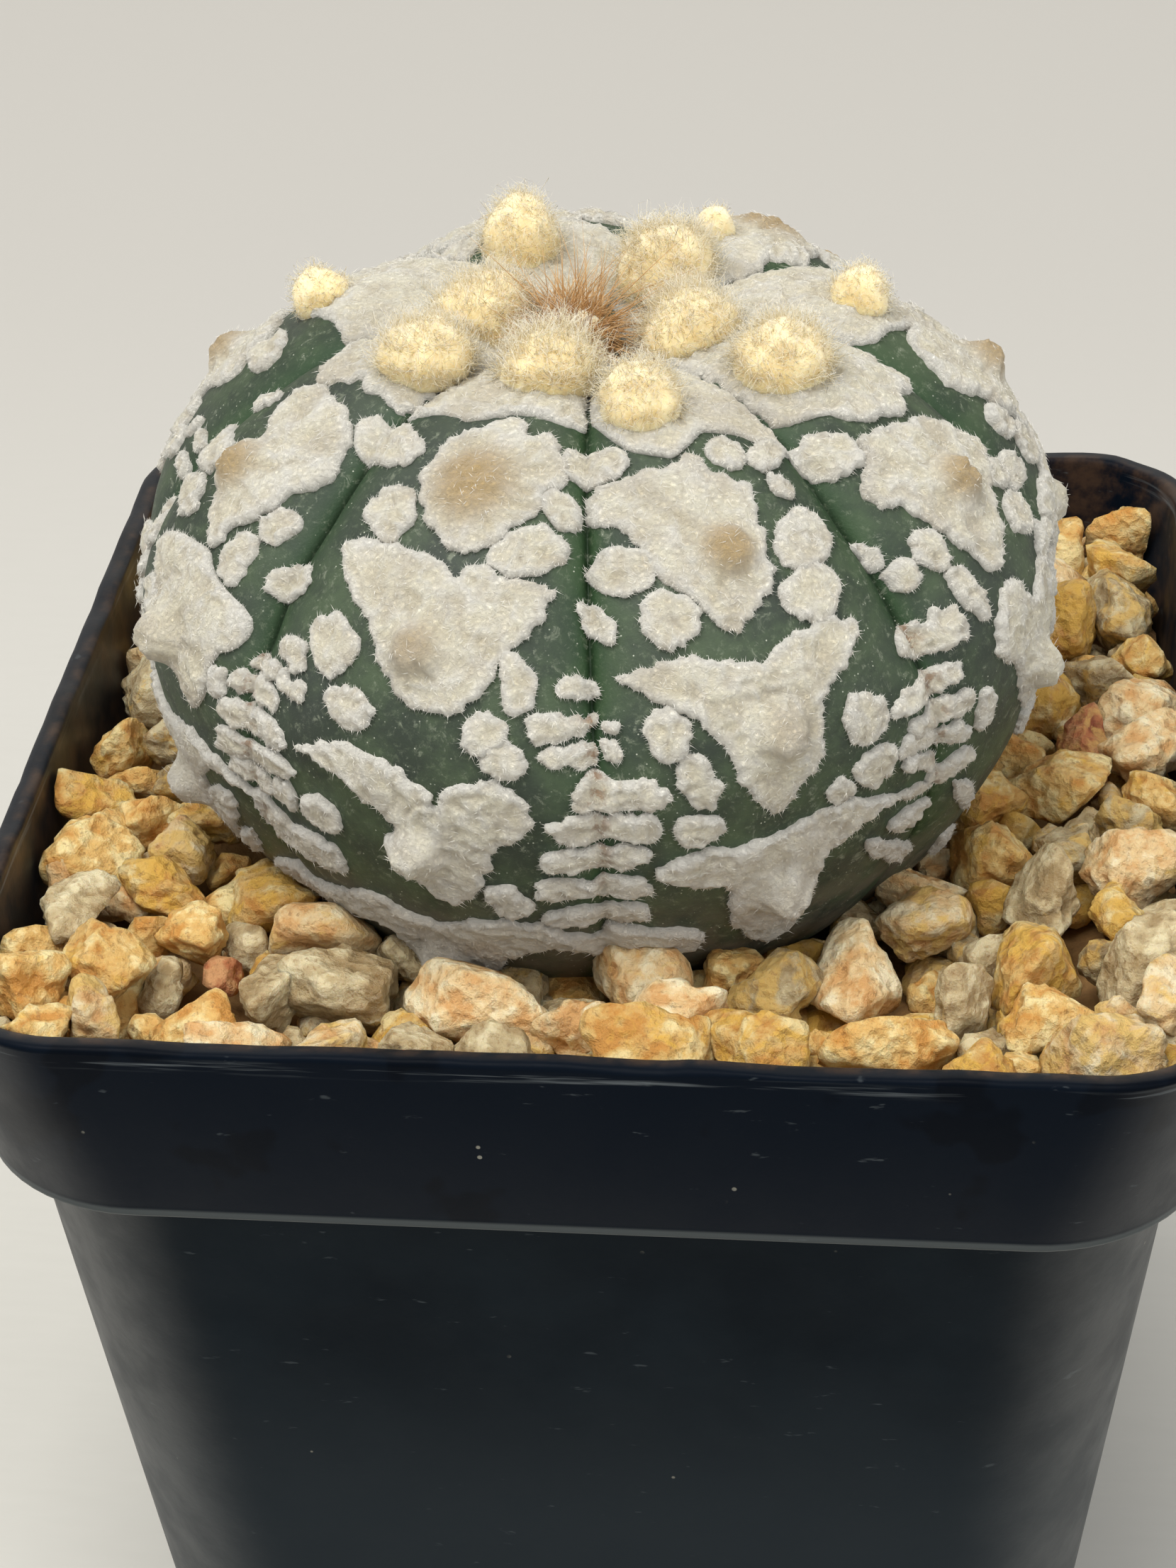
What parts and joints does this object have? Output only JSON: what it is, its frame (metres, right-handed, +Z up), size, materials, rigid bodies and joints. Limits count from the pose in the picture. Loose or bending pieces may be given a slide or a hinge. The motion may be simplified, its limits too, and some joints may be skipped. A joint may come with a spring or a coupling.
{
  "type": "potted super kabuto star cactus",
  "caption": "Low ribbed star cactus with felt flecks and woolly areoles, rooted in soil under golden gravel in a square black nursery pot.",
  "frame": {"origin": "centre of the pot's foot, on the plane that the pot rests on", "axes": "+Z up through the plant, X and Y square to the pot's sides"},
  "size_m": [0.08, 0.08, 0.1083],
  "materials": {
    "pot": "satin black with faint scuffs",
    "soil": "damp gritty potting mix",
    "gravel": "golden and cream quartz gravel",
    "skin": "dull grey-green plant skin with cream felt",
    "bud": "woolly bud with brown hairs"
  },
  "bodies": {
    "root": {"pot": "pot", "soil": "soil", "gravel": "gravel", "cactus": "skin", "flower_bud": "bud"}
  },
  "joints": []
}
